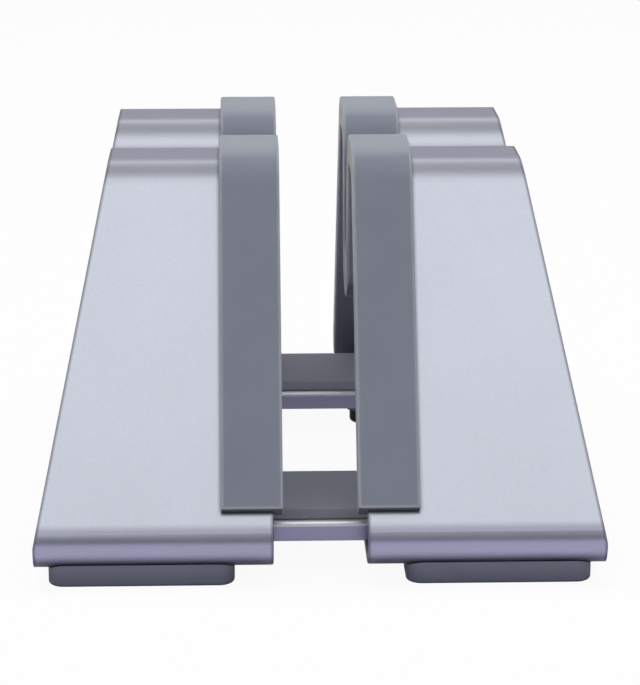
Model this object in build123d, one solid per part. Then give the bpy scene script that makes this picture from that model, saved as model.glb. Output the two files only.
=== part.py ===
# A vertical laptop stand: two halves of folded aluminium sheet, edged with silicone, that slide on two rails.
# Millimetres, +Z up. X runs across the slot and Y along it. The origin is on the table, under the middle.
# The halves are alike: the left one is the right one turned half round. The front and rear are alike too,
# except that the silicone edges reach further down at the rear.
import os
from math import asin, atan2, hypot, tan

from build123d import *

# The slot and the halves, seen along Y
pad_gap = 14.2  # between the silicone edges, at the setting that is shown
pad_gap_least = 12.0  # with the halves pushed in to their stops
pad_gap_most = 34.0  # with the halves pulled out to their stops
base_reach = 45.4  # width of a half at its foot, from its inner edge
ridge_reach = 31.7  # width of a half at its ridges
ridge_height = 74.8  # from the table to the top of the metal

# The fold of the sheet, seen along X
sheet = 2.0
base_depth = 140.0  # over the front and rear lips
ridge_front = 32.3  # from the middle to the corner of the slope and the ridge's flat
ridge_rear = 10.4  # from the middle to the corner of the flat and the valley's wall
valley_half = 8.0  # from the middle to the corner of the valley's wall and floor
valley_floor = 43.5  # from the table to the top of the valley's floor
flange_length = 34.0  # from the front of the lip to the end of the flange under a rail
flange_corner = 5.0
lip_radius = 5.0
ridge_radius = 8.0
valley_radius = 8.0
sheet_round = 0.35  # on the edges of its two cut ends

# The feet
foot_height = 3.4
foot_width = 35.4
foot_depth = 12.0
foot_inset = 7.4  # from the inner edge of the half
foot_setback = 1.8  # from the front of the lip
foot_corner = 3.0
foot_round = 0.7

# The silicone edge of each half
pad_thickness = 2.5
pad_wrap = 1.8  # how far it stands past the sheet's inner edge, into the slot
pad_width = 11.7  # of its outer leaf
pad_lip = 1.6  # thickness of its inner leaf
pad_lip_width = 4.0
pad_front_bottom = 14.5  # height of its front end above the table, on the slope
pad_rear_bottom = 10.9  # height of its rear end, which reaches further down
pad_round = 0.35
pad_clearance = 0.05

# The rails and the strips on them
rail_inset = 24.7  # from the front of the lip to the middle of the rail
rail_width = 26.0
rail_thickness = 4.0
rail_length = 92.0
rail_round = 1.0
slide_clearance = 0.1  # between a rail and the flange that it lies on
strip_thickness = 2.4
strip_setback = 1.2
strip_end_setback = 2.0
strip_round = 0.6

# The locking screws and their nuts
screw_inset = 4.4  # from the inner edge of the half to the screw's axis
screw_shift = 5.8  # from the middle of the rail to the screw's axis, towards the middle of the stand
screw_diameter = 4.0
screw_tip_clearance = 0.1  # under the strip
screw_clearance = 0.25
head_diameter = 7.0
head_height = 2.8
head_round = 0.8
socket_flats = 2.5
socket_depth = 1.5
nut_side = 7.0
nut_height = 2.2
nut_clearance = 0.2
nut_play = 0.05
thread_play = 0.1
stop_clearance = 0.3  # left between the screw and the end of its slot

# Heights and places that follow
inner_edge = pad_gap / 2 + pad_wrap
pad_inner = pad_gap / 2
sole = foot_height
flange_top = sole + sheet
rail_bottom = flange_top + slide_clearance
rail_top = rail_bottom + rail_thickness
rail_y = base_depth / 2 - rail_inset
screw_y = rail_y - screw_shift
flange_end = base_depth / 2 - flange_length
screw_x = inner_edge + screw_inset
travel_in = (pad_gap - pad_gap_least) / 2
travel_out = (pad_gap_most - pad_gap) / 2
track_depth = nut_height + 2 * nut_play
track_floor = rail_top - track_depth
shank_radius = screw_diameter / 2
screw_length = rail_top - screw_tip_clearance - sole
slot_width = screw_diameter + 2 * screw_clearance
track_width = nut_side + 2 * nut_clearance

# The slope is the line that touches the lip's bend and runs up to the ridge's corner.
lip_y = base_depth / 2 - lip_radius
lip_z = sole + lip_radius
to_ridge = hypot(lip_y - ridge_front, ridge_height - lip_z)
slope_angle = atan2(ridge_height - lip_z, lip_y - ridge_front) - asin(lip_radius / to_ridge)
slope_run = 1 / tan(slope_angle)  # how far the slope goes back for each millimetre up


def slope_y(height):
    """How far the slope's outer face is from the middle at a height."""
    return ridge_front + (ridge_height - height) * slope_run


def both_ends(front):
    """A list of corners from the front to the middle, followed by its mirror image."""
    return front + [(-y, z) for y, z in reversed(front)]


ridge_and_valley = [(-ridge_front, ridge_height), (-ridge_rear, ridge_height), (-valley_half, valley_floor)]
sheet_corners = both_ends([(-flange_end, sole), (-slope_y(sole), sole)] + ridge_and_valley)
ridge_bends = [ridge_radius, ridge_radius, -valley_radius]
pad_bends = ridge_bends + ridge_bends[::-1]
sheet_bends = [lip_radius] + pad_bends + [lip_radius]


def fold_line(corners, bends, out):
    """The sheet's outer line moved out square to itself. A bend below zero is a hollow one."""
    runs = []
    for start, end in zip(corners, corners[1:]):
        along = (Vector(*end) - Vector(*start)).normalized()
        runs.append((Vector(*start) + Vector(-along.Y, along.X) * out, along))
    points = [runs[0][0]]
    for (p, u), (q, v) in zip(runs, runs[1:]):
        gap = q - p
        reach = (gap.X * v.Y - gap.Y * v.X) / (u.X * v.Y - u.Y * v.X)
        points.append(p + u * reach)
    start, along = runs[-1]
    points.append(start + along * (Vector(*corners[-1]) - Vector(*corners[-2])).length)
    return FilletPolyline(*points, radius=[abs(bend + out) for bend in bends])


def fold_face(corners, bends, upper, lower):
    """The section of a folded layer that lies between two distances from the sheet's outer line."""
    top = fold_line(corners, bends, upper)
    under = fold_line(corners, bends, lower)
    return make_face([top, under, Line(top @ 0, under @ 0), Line(top @ 1, under @ 1)])


def across(face, start, end):
    """A section in the YZ plane, drawn out along X."""
    return extrude(Plane.YZ.offset(start) * face, amount=end - start)


def half_frame():
    """The right half: one folded sheet, cut off on a slant at its outer end."""
    frame = across(fold_face(sheet_corners, sheet_bends, 0, -sheet), inner_edge, inner_edge + base_reach)
    outer = inner_edge + base_reach
    lean = (base_reach - ridge_reach) / (ridge_height - lip_z)
    rise = ridge_height - lip_z + sheet
    beyond = outer + sheet
    offcut = make_face(
        Polyline(
            (outer, lip_z),
            (outer - lean * rise, lip_z + rise),
            (beyond, lip_z + rise),
            (beyond, lip_z),
            close=True,
        )
    )
    frame -= extrude(Plane.XZ * offcut, amount=base_depth, both=True)
    slant = frame.faces().filter_by(lambda face: face.normal_at().X > 0.5).sort_by(SortBy.AREA)[-1]
    frame = fillet([edge for edge in slant.edges() if edge.center().Z > lip_z + sheet_round], sheet_round)
    frame = fillet(frame.faces().sort_by(Axis.X)[0].edges(), sheet_round)
    corner = Rectangle(2 * flange_corner, 2 * flange_corner)
    corner -= Pos(flange_corner, flange_corner) * Circle(flange_corner)
    for x, front_turn, rear_turn in ((inner_edge, -90, 0), (outer, 180, 90)):
        for y, turn in ((-flange_end, front_turn), (flange_end, rear_turn)):
            frame -= extrude(Pos(x, y, sole - sheet) * Rot(0, 0, turn) * corner, amount=3 * sheet)
    hole = Cylinder(shank_radius + screw_clearance, 3 * sheet)
    for y in (-screw_y, screw_y):
        frame -= Pos(screw_x, y, sole + sheet / 2) * hole
    return frame


def edge_pad(front_bottom, rear_bottom):
    """The right half's silicone edge: a channel on the sheet's inner edge, cut off flush with the lips."""
    front = (-slope_y(front_bottom), front_bottom)
    rear = (slope_y(rear_bottom), rear_bottom)
    corners = [front] + both_ends(ridge_and_valley) + [rear]
    outer_leaf = fold_face(corners, pad_bends, pad_thickness, pad_clearance)
    inner_leaf = fold_face(corners, pad_bends, -sheet - pad_clearance, -sheet - pad_lip)
    edge = fold_face(corners, pad_bends, pad_thickness, -sheet - pad_lip)
    pad = across(outer_leaf, pad_inner, pad_inner + pad_width)
    pad += across(edge, pad_inner, inner_edge - pad_clearance)
    pad += across(inner_leaf, pad_inner, inner_edge + pad_lip_width)
    rim = fold_line(corners, pad_bends, pad_thickness)
    rims = [Plane.YZ.offset(x) * rim for x in (pad_inner, pad_inner + pad_width)]
    rim_edges = [e for e in pad.edges() if min(r.distance_to(e @ 0.5) for r in rims) < 0.01]
    pad = fillet([e for e in rim_edges if abs(e.tangent_at(0.5).X) < 0.5], pad_round)
    return pad & Box(4 * base_reach, base_depth, 4 * ridge_height)


def foot():
    """One rubber foot, centred on its own place, with its lower edges rounded."""
    pad = Box(foot_width, foot_depth, foot_height, align=(Align.CENTER, Align.CENTER, Align.MIN))
    pad = fillet(pad.edges().filter_by(Axis.Z), foot_corner)
    return fillet(pad.faces().sort_by(Axis.Z)[0].edges(), foot_round)


def rail():
    """The front cross bar, with a nut track and a slot at each end."""
    bar = Box(rail_length, rail_width, rail_thickness, align=(Align.CENTER, Align.CENTER, Align.MIN))
    bar = fillet(bar.faces().sort_by(Axis.Z)[-1].edges().filter_by(Axis.X), rail_round)
    bar = Pos(0, 0, rail_bottom) * bar
    travel = travel_in + travel_out
    middle = screw_x + (travel_out - travel_in) / 2
    slot = SlotCenterToCenter(travel + 2 * (stop_clearance - screw_clearance), slot_width)
    track = Rectangle(travel + nut_side + 2 * stop_clearance, track_width)
    for side in (-1, 1):
        bar -= extrude(Pos(side * middle, screw_shift, rail_bottom) * slot, amount=rail_thickness)
        bar -= extrude(Pos(side * middle, screw_shift, track_floor) * track, amount=track_depth)
    return Pos(0, -rail_y, 0) * bar


def strip():
    """The silicone strip on top of the front rail, set back from the rail's edges."""
    length = rail_length - 2 * strip_end_setback
    width = rail_width - 2 * strip_setback
    band = Box(length, width, strip_thickness, align=(Align.CENTER, Align.CENTER, Align.MIN))
    band = fillet(band.faces().sort_by(Axis.Z)[-1].edges(), strip_round)
    return Pos(0, -rail_y, rail_top) * band


def lock_screw():
    """A low-headed screw that comes up through the flange and the rail's slot into the nut."""
    head = Cylinder(head_diameter / 2, head_height, align=(Align.CENTER, Align.CENTER, Align.MAX))
    head = fillet(head.faces().sort_by(Axis.Z)[0].edges(), head_round)
    shank = Cylinder(shank_radius, screw_length, align=(Align.CENTER, Align.CENTER, Align.MIN))
    socket = RegularPolygon(socket_flats / 2, 6, major_radius=False)
    screw = head + shank
    screw -= extrude(Pos(0, 0, -head_height) * socket, amount=socket_depth)
    return Pos(0, 0, sole) * screw


def lock_nut():
    """The thin square nut that slides in the rail's track."""
    nut = Box(nut_side, nut_side, nut_height, align=(Align.CENTER, Align.CENTER, Align.MIN))
    nut -= Cylinder(shank_radius + thread_play, 3 * nut_height)
    return Pos(0, 0, track_floor + nut_play) * nut


# The pieces, at their places
foot_x = inner_edge + foot_inset + foot_width / 2
foot_y = base_depth / 2 - foot_setback - foot_depth / 2
pad_bottoms = (pad_front_bottom, pad_rear_bottom)
pieces = {}
for end, turn in (("front", 0), ("rear", 180)):
    pieces[end + "_rail"] = Rot(0, 0, turn) * rail()
    pieces[end + "_rail_strip"] = Rot(0, 0, turn) * strip()
for side, out, turn in (("left", -1, 180), ("right", 1, 0)):
    pieces[side + "_frame"] = Rot(0, 0, turn) * half_frame()
    # Turning the left edge round swaps its ends, so it is made with them the other way about.
    pieces[side + "_edge_pad"] = Rot(0, 0, turn) * edge_pad(*pad_bottoms[::out])
    for end, toward in (("front", -1), ("rear", 1)):
        corner = side + "_" + end
        pieces[corner + "_foot"] = Pos(out * foot_x, toward * foot_y, 0) * foot()
        pieces[corner + "_lock_screw"] = Pos(out * screw_x, toward * screw_y, 0) * lock_screw()
        pieces[corner + "_lock_nut"] = Pos(out * screw_x, toward * screw_y, 0) * lock_nut()

os.makedirs("parts", exist_ok=True)
for name, shape in pieces.items():
    export_step(shape, "parts/" + name + ".step")
    print(name, "solids", len(shape.solids()), "volume", round(shape.volume, 1))
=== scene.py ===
# %% [markdown]
# # A vertical laptop stand
# Two halves of folded aluminium sheet face each other across a slot, and a thin, flat load stands in the slot on its
# edge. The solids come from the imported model, so every size is settled before this lesson starts. What is left is to
# dress them: the hard pieces keep their solids and get a finish, and the soft ones are modelled again with the small
# roundings that a mould leaves.

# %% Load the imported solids
import math

import bmesh
import bpy
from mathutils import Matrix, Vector


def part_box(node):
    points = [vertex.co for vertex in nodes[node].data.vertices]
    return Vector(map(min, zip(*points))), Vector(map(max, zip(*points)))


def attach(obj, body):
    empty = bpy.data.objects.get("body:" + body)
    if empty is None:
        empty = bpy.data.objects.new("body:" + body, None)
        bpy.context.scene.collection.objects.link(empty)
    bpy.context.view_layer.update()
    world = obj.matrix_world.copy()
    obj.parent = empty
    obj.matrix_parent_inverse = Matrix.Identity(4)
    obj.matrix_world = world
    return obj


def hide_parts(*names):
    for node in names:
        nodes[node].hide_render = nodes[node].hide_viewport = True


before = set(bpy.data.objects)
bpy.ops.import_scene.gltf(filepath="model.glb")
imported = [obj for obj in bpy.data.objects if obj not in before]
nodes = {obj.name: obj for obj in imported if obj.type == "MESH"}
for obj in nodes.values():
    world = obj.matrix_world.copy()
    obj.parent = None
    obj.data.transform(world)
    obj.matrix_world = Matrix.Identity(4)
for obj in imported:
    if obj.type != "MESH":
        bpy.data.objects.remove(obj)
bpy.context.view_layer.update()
MM = 0.001

# %% [markdown]
# ## Sizes to share
# The silicone edge follows the fold of the sheet, and both finishes change where the two meet, so the fold is measured
# once, in millimetres. The overall sizes are read from the solids. The bends and the corners of the fold can't be read
# from a box, so they are given here. The slope is the line that touches the lip's bend and meets the ridge's corner.

# %% Measure the fold
frame_low, frame_high = [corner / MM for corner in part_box("right_frame")]
pad_low, pad_high = [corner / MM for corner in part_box("right_edge_pad")]
sheet, lip_radius, ridge_radius, valley_radius = 2.0, 5.0, 8.0, 8.0
ridge_front, ridge_rear, valley_half, valley_floor = 32.3, 10.4, 8.0, 43.5
ridge_reach = 31.7
front_bottom, rear_bottom = 14.5, 10.9
face_height = pad_high.z - frame_high.z

lip_y = frame_high.y - lip_radius
lip_z = frame_low.z + lip_radius
to_ridge = math.hypot(lip_y - ridge_front, frame_high.z - lip_z)
slope_angle = math.atan2(frame_high.z - lip_z, lip_y - ridge_front) - math.asin(lip_radius / to_ridge)
front_end, rear_end = [ridge_front + (frame_high.z - z) / math.tan(slope_angle) for z in (front_bottom, rear_bottom)]
print("slope in degrees:", round(math.degrees(slope_angle), 1))

# %% [markdown]
# ## Sums that become shader nodes
# Every finish here is a little arithmetic on noise: a base tone plus a share of a cloud, one minus a mask. It could be
# wired by hand, node by node, but a sum reads better as a sum. This class holds one socket of a node tree. Adding or
# multiplying it adds the Math node, and `node` adds a node of any other kind.

# %% A socket that can be added and multiplied
class Wire:
    """One output socket of a node tree."""

    def __init__(self, tree, socket=None):
        self.tree = tree
        self.socket = socket

    def feed(self, target, sockets):
        """Sets a node's inputs: a wire is linked, and anything else is set as a fixed value."""
        for name, value in sockets.items():
            if isinstance(value, Wire):
                self.tree.links.new(value.socket, target.inputs[name])
            else:
                target.inputs[name].default_value = value

    def node(self, kind, settings=None, sockets=None, out=0):
        """Adds a node: first its settings, and then the values or wires of its inputs."""
        made = self.tree.nodes.new(kind)
        for name, value in (settings or {}).items():
            setattr(made, name, value)
        self.feed(made, sockets or {})
        return Wire(self.tree, made.outputs[out])

    def maths(self, operation, first, second):
        return self.node("ShaderNodeMath", {"operation": operation}, {0: first, 1: second})

    def __add__(self, other):
        return self.maths("ADD", self, other)

    def __radd__(self, other):
        return self.maths("ADD", other, self)

    def __sub__(self, other):
        return self.maths("SUBTRACT", self, other)

    def __rsub__(self, other):
        return self.maths("SUBTRACT", other, self)

    def __mul__(self, other):
        return self.maths("MULTIPLY", self, other)

    def __rmul__(self, other):
        return self.maths("MULTIPLY", other, self)

    def largest(self, other):
        return self.maths("MAXIMUM", self, other)

    def smallest(self, other):
        return self.maths("MINIMUM", self, other)

    def ramp(self, start, end, unit=1.0):
        """0 up to the start and 1 from the end on, with a soft rise or fall between them."""
        reach = {"Value": self, "From Min": start * unit, "From Max": end * unit}
        return self.node("ShaderNodeMapRange", {"interpolation_type": "SMOOTHSTEP"}, reach)

    def mix(self, low, high):
        """A colour between two others, by this value from 0 to 1."""
        return self.node("ShaderNodeMix", {"data_type": "RGBA"}, {0: self, 6: low, 7: high}, out=2)

    def scaled(self, factor):
        """This colour or vector times a value."""
        return self.node("ShaderNodeVectorMath", {"operation": "SCALE"}, {"Vector": self, "Scale": factor})

    def along(self, direction):
        """How far this place is along a direction."""
        return self.node("ShaderNodeVectorMath", {"operation": "DOT_PRODUCT"}, {0: self, 1: direction}, out="Value")

    def axis(self, name):
        """One of the three parts of a vector."""
        return self.node("ShaderNodeSeparateXYZ", None, {"Vector": self}, out=name)

    def noise(self, feature, detail=2.0, roughness=0.5):
        """A cloud from 0 to 1 on these coordinates, with features about so many metres across."""
        size = {"Vector": self, "Scale": 1 / feature, "Detail": detail, "Roughness": roughness}
        return self.node("ShaderNodeTexNoise", None, size)

    def bump(self, depth):
        """A normal from this height, whose full rise is so many metres deep."""
        return self.node("ShaderNodeBump", None, {"Strength": 1.0, "Distance": depth, "Height": self})


print("sums ready")

# %% [markdown]
# ## Places on the stand
# A finish changes with the place: beside an edge, below an end, on the faces that look up. Here these changes are
# painted light and painted shade. Such masks could be painted on the mesh, but then they are only as sharp as the
# paint. Worked out from the coordinates of the piece, they stay sharp close up, need no unwrapping, and go with the
# piece when it slides.

# %% Masks from coordinates
def new_finish(name):
    """An empty material, the coordinates of the piece that it is on, and its surface shader."""
    material = bpy.data.materials.new(name)
    material.use_nodes = True
    tree = material.node_tree
    place = Wire(tree).node("ShaderNodeTexCoord", out="Object")
    return material, place, tree.nodes["Principled BSDF"]


def from_middle(place):
    """How far a point is from the middle of the slot, on either side."""
    return place.maths("ABSOLUTE", place.axis("X"), 0.0)


def up_the_slope(place):
    """How far a point is up the front slope from the end of the silicone edge."""
    uphill = Vector((0, math.cos(slope_angle), math.sin(slope_angle)))
    end = Vector((0, -front_end, front_bottom)) * MM
    return place.along(uphill) - end.dot(uphill)


def facing_up(place):
    """1 on a face that looks straight up, 0 on an upright one and -1 on one that looks down."""
    return place.node("ShaderNodeNewGeometry", out="Normal").axis("Z")


def finish_nodes(names, finish):
    """Gives a finish to solids that keep their shape."""
    for name in names:
        for slot in nodes[name].material_slots:
            slot.material = finish


print("masks ready")

# %% [markdown]
# ## Blasted and anodised aluminium
# The sheet looks folded, blasted with fine beads and dyed a violet grey in an anodising bath. Blasting leaves pits of
# about a tenth of a millimetre, which spread each reflection into a soft sheen, and a bath never takes quite evenly.
# A picture of the surface would show its tiles on a part this bare, so the pits are a fine noise in the bump, with a
# coarser speckle, and the bath is a slow cloud in the colour and the roughness. The photograph shows the sheet darker
# low down and at the folds, and the rails with a bright upper edge, from what the metal mirrors in a room that isn't
# known. So the tone goes by the height and stands in for it: painted reflection and painted shade over the violet grey,
# with a painted highlight on the rails' upper edge.

# %% The recipe of the metal
pit, speck, bath_cloud, pit_depth = 0.16 * MM, 0.55 * MM, 24 * MM, 0.006 * MM


def blasted_aluminium(name, lowest, tones, sheen, lines=None):
    """Anodised metal: a tone at the bottom, and others that take over between two heights, going up."""
    material, place, surface = new_finish(name)
    pits = place.noise(pit, 3.0, 0.6)
    speckle = place.noise(speck, 2.0, 0.6)
    bath = place.noise(bath_cloud, 3.0, 0.55)
    # The tones by height are the metal's own colour with painted reflection and painted shade, and the lines, where
    # given, are painted shadow and shade.
    tone_and_painted_light = lowest
    for start, end, tone in tones:
        tone_and_painted_light = place.axis("Z").ramp(start, end, MM).mix(tone_and_painted_light, tone)
    shade = 0.80 + 0.16 * pits + 0.12 * speckle + 0.12 * bath
    if lines:
        shade = shade * (1 - lines(place))
    rough = sheen - 0.05 + 0.05 * bath + 0.05 * pits
    place.feed(surface, {"Base Color": tone_and_painted_light.scaled(shade), "Roughness": rough, "Metallic": 1.0})
    place.feed(surface, {"Normal": (pits + 0.6 * speckle).bump(pit_depth)})
    return material


print("metal recipe ready")

# %% [markdown]
# ## The dark lines of the sheet
# A seam looks dark from its own shadow. The photograph shows a thin dark line beside the silicone edge, a stronger one
# just under its front end, and a dark outline at both ends of the sheet. They are finer than the solids' roundings can
# shade, so they are drawn in the colour as painted shadow and painted shade. The cut face itself stays light.

# %% Lines at the seam and at the cut ends
under_strength, beside_strength, cut_strength = 0.8, 0.4, 0.5


# The mask for the painted dark outline at both ends of the sheet.
def cut_ends(place):
    """The rounded edges at both ends of the sheet. Above the lip, the outer end leans in."""
    out = from_middle(place)
    lean = (frame_high.x - frame_low.x - ridge_reach) / (frame_high.z - lip_z)
    above_lip = (place.axis("Z") - lip_z * MM).largest(0.0)
    to_outer_end = frame_high.x * MM - lean * above_lip - out
    to_end = to_outer_end.smallest(out - frame_low.x * MM)
    return to_end.ramp(0.75, 0.20, MM) * to_end.ramp(0.02, 0.10, MM)


def painted_shadow_lines(place):
    """Painted shadow at the seams with the silicone edge, on the upper side alone, and painted shade at the cut ends.
    """
    out, up = from_middle(place), up_the_slope(place)
    seam = pad_high.x
    under_end = up.ramp(-1.1, -0.2, MM) * up.ramp(1.2, 0.6, MM) * out.ramp(seam + 0.4, seam - 0.3, MM)
    beside = out.ramp(seam + 0.8, seam, MM) * up.ramp(-0.4, 0.4, MM)
    seams = facing_up(place).ramp(0.0, 0.1) * (under_strength * under_end).largest(beside_strength * beside)
    return seams.largest(cut_strength * cut_ends(place))


print("dark lines ready")

# %% The finishes of the sheets and the rails
# Each tone is the violet grey with painted reflection and painted shade: the foot of the lip is painted shade, and the
# bright slopes hold a painted reflection of the lamp in front.
lip_foot_painted_shade, lip, crease = (0.120, 0.117, 0.178, 1), (0.360, 0.354, 0.508, 1), (0.415, 0.427, 0.525, 1)
slope, ridge_flat = (0.660, 0.687, 0.780, 1), (0.618, 0.618, 0.795, 1)
sheet_tones = [(4.2, 7.0, lip), (9.2, 10.3, crease), (11.2, 12.8, slope), (74.4, 74.78, ridge_flat)]
# The rail's upper edge is a painted highlight.
rail_side, rail_edge_painted_highlight = (0.268, 0.264, 0.405, 1), (0.88, 0.89, 0.93, 1)
rail_tones = [(8.3, 8.8, rail_edge_painted_highlight)]
sheet_finish = blasted_aluminium("violet_anodised", lip_foot_painted_shade, sheet_tones, 0.31, painted_shadow_lines)
rail_finish = blasted_aluminium("violet_anodised_rail", rail_side, rail_tones, 0.30)
finish_nodes(("left_frame", "right_frame"), sheet_finish)
finish_nodes(("front_rail", "rear_rail"), rail_finish)
print("metal finishes:", sheet_finish.name, rail_finish.name)

# %% [markdown]
# ## Moulded silicone and rubber
# The silicone looks matt, as it does from an etched mould: its skin is a fine even grain with no shine. The faces that
# look up get a painted tone of their own, for how the light falls on them, and the undersides get painted shade. One
# recipe does for the edges, the strips and the feet, with other colours. The grain goes into the bump, and the painted
# light on top is a cloud that is weighted by how far the surface looks up, which changes the colour and the roughness
# together.

# %% The recipe of the soft pieces
skin_cloud, skin_depth = 9 * MM, 0.008 * MM
# Slants of the normal over which the painted light on top and the painted shade below come in.
top_light_from, top_light_full, under_from, under_full = 0.82, 0.98, -0.35, -0.75
under_shade = 0.3


def moulded(name, tones, rough, grain, pale_mask=None, pale_tone=None):
    """Matt silicone or rubber: painted light above, painted shade below, and paler where a mask paints light."""
    clean, worn, painted_light = tones
    material, place, surface = new_finish(name)
    skin = place.noise(grain, 2.0, 0.6)
    cloud = place.noise(skin_cloud, 4.0, 0.6)
    upward = facing_up(place)
    # Painted light: faces that look up take a tone of their own, and are a little rougher.
    painted_top_light = upward.ramp(top_light_from, top_light_full) * (0.75 + 0.25 * cloud)
    colour = (0.7 * cloud + 0.3 * skin).mix(clean, worn)
    if pale_mask:
        colour = (pale_mask(place) * (0.6 + 0.4 * cloud)).mix(colour, pale_tone)
    # Painted shade: faces that look down go darker.
    under = tuple(under_shade * part for part in clean[:3]) + (1,)
    colour = upward.ramp(under_from, under_full).mix(painted_top_light.mix(colour, painted_light), under)
    place.feed(surface, {"Base Color": colour, "Roughness": rough - 0.06 + 0.08 * cloud + 0.06 * painted_top_light})
    place.feed(surface, {"Specular IOR Level": 0.35, "Normal": skin.bump(skin_depth)})
    return material


print("soft recipe ready")

# %% [markdown]
# ## Where the soft pieces are paler
# In the photograph the silicone is paler along its long edges, at its front end and on the inner face near the ridges,
# where light catches it, so a painted highlight and painted light go there. A foot is paler towards its top, which is
# painted light against the shade under the lip. Each is a mask for the recipe above.

# %% Painted highlight on the edges and painted light on the feet
# How strong the painted highlight on the rims is, and the heights over which painted light rises on the inner face.
rim_strength, lit_face_from, lit_face_full = 0.42, 35, 70


def painted_edge_light(place):
    """Painted highlight on the rims of the silicone edge, and painted light on the upper part of its inner face."""
    out, up = from_middle(place), up_the_slope(place)
    inner, outer, full, none = pad_low.x, pad_high.x, 0.20, 0.75
    long_rims = out.ramp(inner + none, inner + full, MM).largest(out.ramp(outer - none, outer - full, MM))
    rims = long_rims.largest(up.ramp(none, full, MM))
    face = out.ramp(inner + 0.25, inner + 0.05, MM) * place.axis("Z").ramp(lit_face_from, lit_face_full, MM)
    return (rim_strength * rims).largest(face)


def painted_wall_light(place):
    """Painted light on the wall of a foot, rising from near the table to its top."""
    return place.axis("Z").ramp(1.5, 4.5, MM)


print("rubbed and dusty places ready")

# %% The finishes of the soft pieces
# Each finish is a clean tone, a second tone that a cloud mixes in, and the painted tone of the faces that look up.
edge_tones = (0.181, 0.200, 0.258, 1), (0.240, 0.260, 0.323, 1), (0.304, 0.327, 0.370, 1)
strip_tones = (0.245, 0.252, 0.306, 1), (0.300, 0.310, 0.366, 1), (0.237, 0.242, 0.289, 1)
foot_tones = (0.146, 0.151, 0.218, 1), (0.194, 0.200, 0.270, 1), (0.180, 0.185, 0.244, 1)
# The pale tone of the silicone edge is a painted highlight on its rims and painted light on its inner face.
edge_finish = moulded("grey_silicone", edge_tones, 0.62, 0.22 * MM, painted_edge_light, (0.58, 0.59, 0.59, 1))
strip_finish = moulded("dark_silicone", strip_tones, 0.60, 0.22 * MM)
# The foot's pale tone is painted light on its upper wall, against the shade under the lip.
foot_finish = moulded("matt_foot_rubber", foot_tones, 0.66, 0.30 * MM, painted_wall_light, (0.207, 0.213, 0.281, 1))
print("soft finishes:", edge_finish.name, strip_finish.name, foot_finish.name)

# %% [markdown]
# ## Black and plain steel
# The screw in view is black, like steel that was blackened in hot oil, which leaves a dark skin with a low, uneven
# gloss. The nuts sit in the rails, out of sight, and are taken to be bright steel with a faint haze. Both are one
# recipe: a haze that changes the colour and the gloss, and scratches in the bump.

# %% The finishes of the screws and the nuts
haze_cloud, scratch_width, scratch_depth = 1.4 * MM, 0.25 * MM, 0.003 * MM


def steel(name, dark, light, rough, metallic):
    """Steel with a haze between two tones."""
    material, place, surface = new_finish(name)
    haze = place.noise(haze_cloud, 3.0, 0.6)
    scratch = place.noise(scratch_width, 2.0, 0.7)
    place.feed(surface, {"Base Color": haze.mix(dark, light), "Roughness": rough + 0.12 * haze, "Metallic": metallic})
    place.feed(surface, {"Normal": scratch.bump(scratch_depth)})
    return material


screw_finish = steel("blackened_steel", (0.012, 0.012, 0.015, 1), (0.030, 0.030, 0.036, 1), 0.30, 0.6)
nut_finish = steel("bright_steel", (0.48, 0.48, 0.47, 1), (0.60, 0.60, 0.59, 1), 0.26, 1.0)
screws = [name for name in nodes if name.endswith("lock_screw")]
nuts = [name for name in nodes if name.endswith("lock_nut")]
finish_nodes(screws, screw_finish)
finish_nodes(nuts, nut_finish)
print("screws:", len(screws), "nuts:", len(nuts))

# %% [markdown]
# ## A line with eased corners
# Both the folded sheet and the section of its silicone edge are lines with rounded corners. One helper walks along
# such a line and gives each point with the direction that is square to it, so that a layer can be laid at any height
# above the line. Curves with a bevel would do it too, but they can't hold a different radius at each corner.

# %% Walk along a line and round its corners
def eased(corners, radii, closed=False, turn_step=9.0, run_step=None):
    """Points along a line in a plane, each with the unit direction to its left."""
    corners = [Vector(corner) for corner in corners]
    count = len(corners)
    walk = []
    for i, corner in enumerate(corners):
        before = corner - corners[i - 1]
        after = corners[(i + 1) % count] - corner
        if not closed and i in (0, count - 1):
            along = (after if i == 0 else before).normalized()
            walk.append((corner, Vector((-along.y, along.x))))
            continue
        before.normalize()
        after.normalize()
        turn = math.atan2(before.x * after.y - before.y * after.x, before.dot(after))
        setback = radii[i] * math.tan(abs(turn) / 2)
        left = Vector((-before.y, before.x)) * math.copysign(1, turn)
        centre = corner - before * setback + left * radii[i]
        steps = max(2, math.ceil(abs(math.degrees(turn)) / turn_step))
        for k in range(steps + 1):
            angle = turn * k / steps
            spoke = Vector((math.cos(angle) * -left.x - math.sin(angle) * -left.y,
                            math.sin(angle) * -left.x + math.cos(angle) * -left.y))
            walk.append((centre + spoke * radii[i], -spoke * math.copysign(1, turn)))
    if closed:
        walk.append(walk[0])
    filled = []
    for (p, n), (q, m) in zip(walk, walk[1:]):
        filled.append((p, n))
        straight = n.dot(m) > 0.9999
        extra = math.floor((q - p).length / run_step) if run_step and straight else 0
        filled += [(p.lerp(q, k / (extra + 1)), n) for k in range(1, extra + 1)]
    return filled if closed else filled + walk[-1:]


print("line walker ready")

# %% [markdown]
# ## A skin over rings
# Every soft piece here is a row of rings with a skin from ring to ring, as a hull is planked over its frames. The skin
# is smooth except where two faces meet at a real corner, and the first and the last ring are closed with a face.

# %% Skin rings of points
real_corner = math.radians(40)


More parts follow.
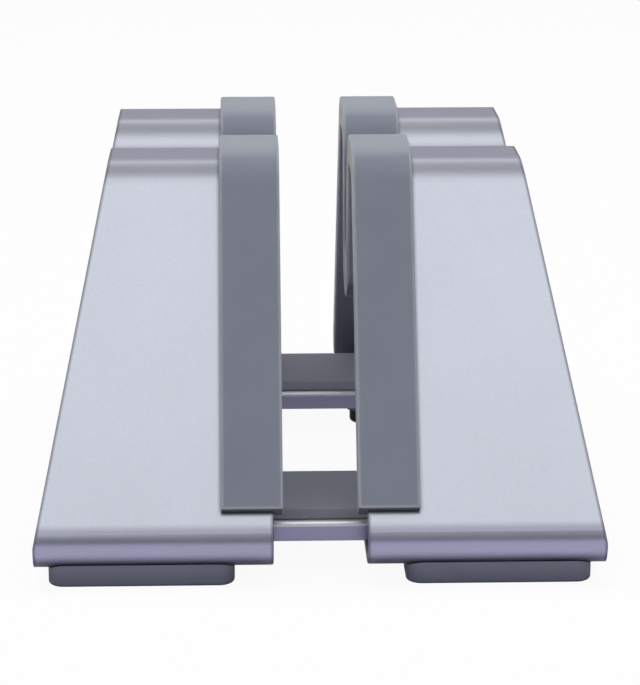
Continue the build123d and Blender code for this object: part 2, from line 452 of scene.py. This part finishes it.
def new_piece(name, rings, finish):
    """A mesh skinned over rings of points, with a face over the first and the last ring."""
    work = bmesh.new()
    loops = [[work.verts.new(point) for point in ring] for ring in rings]
    for low, high in zip(loops, loops[1:]):
        for i in range(len(low)):
            work.faces.new((low[i - 1], low[i], high[i], high[i - 1]))
    work.faces.new(reversed(loops[0]))
    work.faces.new(loops[-1])
    bmesh.ops.recalc_face_normals(work, faces=work.faces)
    mesh = bpy.data.meshes.new(name)
    work.to_mesh(mesh)
    work.free()
    mesh.polygons.foreach_set("use_smooth", [True] * len(mesh.polygons))
    mesh.set_sharp_from_angle(angle=real_corner)
    mesh.materials.append(finish)
    piece = bpy.data.objects.new(name, mesh)
    bpy.context.scene.collection.objects.link(piece)
    return piece


print("skin ready")

# %% [markdown]
# ## The silicone edge of each half
# A moulded channel is pushed over the sheet's inner edge, where it follows the fold from the front slope, over the
# ridge, down through the valley, over the other ridge and down to the rear. The load leans on its face. It is a
# section that runs along the fold, so it is skinned: the section's points are laid out square to the fold at each step
# of the walk. Near both ends the section shrinks along a quarter round, which is the radius in the mould's corner.

# %% The fold that the edge follows
ridge = [(-ridge_front, frame_high.z), (-ridge_rear, frame_high.z), (-valley_half, valley_floor)]
other_ridge = [(-y, z) for y, z in reversed(ridge)]
fold = [(-front_end, front_bottom)] + ridge + other_ridge + [(rear_end, rear_bottom)]
bends = [ridge_radius, ridge_radius, valley_radius]
fold_walk = eased(fold, [0.0] + bends + bends[::-1] + [0.0], turn_step=6.0, run_step=1.0)
print("steps along the fold:", len(fold_walk))

# %% The section of the edge
grip, grip_reach, fit = 1.6, 4.0, 0.05
grip_low = -sheet - grip
grip_end = frame_low.x + grip_reach
web = frame_low.x - fit
section_corners = [(pad_low.x, grip_low), (grip_end, grip_low), (grip_end, -sheet - fit), (web, -sheet - fit)]
section_corners += [(web, fit), (pad_high.x, fit), (pad_high.x, face_height), (pad_low.x, face_height)]
section_radii = [0.5, 0.5, 0.4, 0.15, 0.15, 0.3, 0.35, 0.35]
section = eased(section_corners, section_radii, closed=True, turn_step=15.0, run_step=2.4)
print("points in the section:", len(section))

# %% The two edges
end_round, end_steps = 0.3, 4


def edge_rings(side):
    """Rings of the channel along the fold, cut off flush with the lips. The left edge mirrors the right one."""
    quarter = [math.radians(90 * k / end_steps) for k in range(end_steps + 1)]
    ease = [(end_round * (1 - math.cos(a)), end_round * (1 - math.sin(a))) for a in quarter]
    start, end = fold_walk[0], fold_walk[-1]
    ahead = (fold_walk[1][0] - start[0]).normalized()
    back = (fold_walk[-2][0] - end[0]).normalized()
    walk = [(start[0] + ahead * along, start[1], inset) for along, inset in ease]
    walk += [(point, out, 0.0) for point, out in fold_walk[1:-1]]
    walk += [(end[0] + back * along, end[1], inset) for along, inset in reversed(ease)]
    for point, out, inset in walk:
        ring = []
        for spot, inward in section:
            x, height = spot + inward * inset
            y, z = point + out * height
            ring.append(Vector((side * x, min(y, frame_high.y), z)) * MM)
        yield ring


for name, side in (("left", -1), ("right", 1)):
    edge = new_piece(name + "_silicone_edge", list(edge_rings(side)), edge_finish)
    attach(edge, name + "_half")
    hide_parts(name + "_edge_pad")
    print(edge.name, "faces:", len(edge.data.polygons))

# %% [markdown]
# ## The strips and the feet
# A strip of silicone lies on each rail, so that the load's edge doesn't touch metal, and four rubber feet keep the
# stand from sliding. Both are flat mouldings with rounded edges. A bevelled cube would do, but its corners and its
# edges would share one radius. Here rings of a rounded outline are stacked instead, and each ring is drawn in by a
# quarter round near the top and the bottom. The top of a foot rises at its outer side, to fill the hollow under the
# bend of the lip, so its rings go on over the top and are lifted to the bend.

# %% Rings of a flat moulding
sole_inset, top_step, top_rings, lip_fill = 0.25, 0.5, 6, 0.95


def quarter_round(radius, steps=5):
    """How far a rounded edge is drawn in, and how far it is from the flat, from the flat outwards."""
    angles = [math.radians(90 * k / steps) for k in range(steps + 1)]
    return [(radius * (1 - math.sin(a)), radius * (1 - math.cos(a))) for a in angles]


def flat_top(y):
    """A top that doesn't rise."""
    return 0.0


def under_the_lip(y):
    """How far the bend of the lip is above its lowest line, so far from the middle of the stand."""
    past = max(0.0, abs(y) - lip_y)
    return lip_fill * (lip_radius - math.sqrt(lip_radius ** 2 - past ** 2))


def moulded_slab(name, node, corner, low_round, high_round, finish, rise=flat_top):
    """A moulding that fills a node's box, with one radius round its corners and others on its edges."""
    low, high = [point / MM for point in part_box(node)]
    levels = [(low_round + sole_inset, low.z, flat_top)]
    levels += [(inset, low.z + lift, flat_top) for inset, lift in quarter_round(low_round)]
    levels += [(inset, high.z - fall, rise) for inset, fall in reversed(quarter_round(high_round))]
    levels += [(high_round + top_step * k, high.z, rise) for k in range(1, top_rings + 1)]
    rings = []
    for inset, z, lift in levels:
        x0, y0, x1, y1 = low.x + inset, low.y + inset, high.x - inset, high.y - inset
        outline = eased([(x0, y0), (x1, y0), (x1, y1), (x0, y1)], [max(0.1, corner - inset)] * 4, closed=True)
        rings.append([Vector((x, y, z + lift(y))) * MM for (x, y), inward in outline])
    return new_piece(name, rings, finish)


print("flat mouldings ready")

# %% The strips and the feet
for end in ("front", "rear"):
    band = moulded_slab(end + "_silicone_strip", end + "_rail_strip", 1.2, 0.2, 0.6, strip_finish)
    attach(band, "rails")
    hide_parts(end + "_rail_strip")
    for side in ("left", "right"):
        node = side + "_" + end + "_foot"
        foot = moulded_slab(side + "_" + end + "_rubber_foot", node, 3.0, 0.7, 0.25, foot_finish, under_the_lip)
        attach(foot, side + "_half")
        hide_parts(node)
print("flat mouldings: 2 strips, 4 feet")

# %% [markdown]
# ## The room
# The stand is seen on white. The world is white to the camera and to reflections, and a dim grey to the rest of the
# light, so that the white costs no exposure. The floor is nearly white to the camera. It keeps a share of its own
# shading, which is where the shadow shows, and a reflection sees more of that share than the camera does.

# %% The world
def ray(wire, *kinds):
    """1 where the light path ends in one of these kinds of ray, and 0 elsewhere."""
    hits = [wire.node("ShaderNodeLightPath", out="Is " + kind + " Ray") for kind in kinds]
    return sum(hits[1:], hits[0]).smallest(1.0)


def grey(level):
    return (level, level, level, 1)


world = bpy.data.worlds.new("white_room")
bpy.context.scene.world = world
world.use_nodes = True
air = Wire(world.node_tree)
room_light = 0.20
seen = ray(air, "Camera", "Glossy", "Transmission")
air.feed(world.node_tree.nodes["Background"], {"Color": seen.mix(grey(room_light), grey(1.0))})
print("room light:", room_light)

# %% The floor
def card(name, corners, finish):
    """A flat sheet of the studio, which isn't part of the stand."""
    mesh = bpy.data.meshes.new(name)
    mesh.from_pydata(corners, [], [(0, 1, 2, 3)])
    mesh.materials.append(finish)
    sheet_of_it = bpy.data.objects.new(name, mesh)
    bpy.context.scene.collection.objects.link(sheet_of_it)
    return sheet_of_it


floor_half, floor_white, floor_shine = 2.0, 0.94, 0.2
just_under = -0.05 * MM
paint, place, surface = new_finish("pale_floor")
place.feed(surface, {"Base Color": place.noise(0.5).mix(grey(0.80), grey(0.84)), "Roughness": 0.9})
glow = place.node("ShaderNodeEmission", None, {"Color": grey(1.0), "Strength": 1.0})
shaded = Wire(paint.node_tree, surface.outputs[0])
white_share = floor_white * ray(place, "Camera", "Transmission") + floor_shine * ray(place, "Glossy")
blend = place.node("ShaderNodeMixShader", None, {0: white_share, 1: shaded, 2: glow})
place.feed(paint.node_tree.nodes["Material Output"], {"Surface": blend})
h = floor_half
card("floor", [(x, y, just_under) for x, y in ((-h, -h), (h, -h), (h, h), (-h, h))], paint)
print("floor", 2 * floor_half, "m across")

# %% [markdown]
# ## The lamps
# A wide softbox overhead lights the tops and reaches into the slot, and a smaller one, above and in front, lights the
# faces of the soft pieces. Both are kept out of reflections, because a lamp would draw a bright bar along every bend.
# What the slopes mirror is the white of the room, so they show about the colour that they are given, and that colour
# holds a painted reflection of the lamp in front.

# %% Softboxes
def softbox(name, place, target, width, height, watts):
    """A rectangular lamp that is turned to a point."""
    lamp = bpy.data.lights.new(name, "AREA")
    lamp.shape = "RECTANGLE"
    lamp.size, lamp.size_y = width, height
    lamp.energy = watts
    box = bpy.data.objects.new(name, lamp)
    box.location = place
    box.rotation_euler = (Vector(target) - Vector(place)).to_track_quat("-Z", "Y").to_euler()
    bpy.context.scene.collection.objects.link(box)
    return box


middle = (0, 0, 0.035)
overhead = softbox("overhead", (0, 0.1, 1.1), middle, 2.0, 0.8, 14.2)
overhead.visible_glossy = False
key = softbox("front_key", (-0.05, -0.85, 0.965), middle, 1.2, 0.58, 2.15)
key.visible_glossy = False
print("softboxes: 2")

# %% [markdown]
# ## The cards
# Bare metal shows whatever stands around it, so the studio is hung with grey cards that only reflections see. The
# darkest stands low in front, for the lips, and a lighter one stands behind, for the flats of the ridges. Those
# overhead fade from near white to grey, which draws each bend as a soft, darker line. Each card is shaded from one
# edge to the other, since an even one would show its outline on the metal.

# %% Grey cards
def grey_card(name, first_level, last_level, corners):
    """A card that only reflections see, shaded from one grey at its first edge to another at its last."""
    finish, place, surface = new_finish(name)
    first, last = Vector(corners[0]), Vector(corners[3])
    across = (last - first) / (last - first).length_squared
    share = place.along(across) - first.dot(across)
    shade = share.ramp(0.0, 1.0).mix(grey(first_level), grey(last_level))
    place.feed(surface, {"Base Color": grey(0.0), "Emission Color": shade, "Emission Strength": 1.0})
    hung = card(name, corners, finish)
    for kind in ("camera", "diffuse", "transmission", "shadow"):
        setattr(hung, "visible_" + kind, False)


def upright(x0, y0, x1, y1, top, bottom=0.002):
    """Corners of a card that stands over a line on the floor."""
    return [(x0, y0, bottom), (x1, y1, bottom), (x1, y1, top), (x0, y0, top)]


def level_card(y0, y1, half=1.9, height=1.6):
    """Corners of a card that hangs level over the stand."""
    return [(-half, y0, height), (half, y0, height), (half, y1, height), (-half, y1, height)]


away = 1.5
front_half, rear_half, side_half = 0.62, 0.95, 0.9
grey_card("front_card", 0.22, 0.31, upright(-front_half, -away, front_half, -away, 0.95))
grey_card("rear_card", 0.34, 0.55, upright(-rear_half, away, rear_half, away, 1.5))
grey_card("left_card", 0.31, 0.53, upright(-away, -side_half, -away, side_half, 1.1))
grey_card("right_card", 0.31, 0.53, upright(away, -side_half, away, side_half, 1.1))
grey_card("ceiling_front", 0.90, 0.39, level_card(-0.95, 0.0))
grey_card("ceiling_rear", 0.39, 0.55, level_card(0.0, 1.2))
print("cards: 6")

# %% [markdown]
# ## The camera
# The photograph looks along the slot from the front, a little above the ridges and a little left of the middle. The
# long lens keeps the two halves nearly upright. The place and the lens were worked out from the edges of the stand in
# the photograph, and the frame is centred on the stand.

# %% Camera
image_height = 685
focal_pixels = 2681
eye = Vector((-14.4, -548.0, 175.4)) * MM
pitch, yaw = 0.26, 0.0297
lens = bpy.data.cameras.new("camera")
lens.sensor_fit = "VERTICAL"
lens.sensor_height = 36.0
lens.lens = focal_pixels / image_height * lens.sensor_height
camera = bpy.data.objects.new("camera", lens)
camera.location = eye
camera.rotation_euler = (math.pi / 2 - pitch, 0, -yaw)
bpy.context.scene.collection.objects.link(camera)
bpy.context.scene.camera = camera
bpy.context.scene.view_settings.view_transform = "Standard"
print("lens in mm:", round(lens.lens, 1))
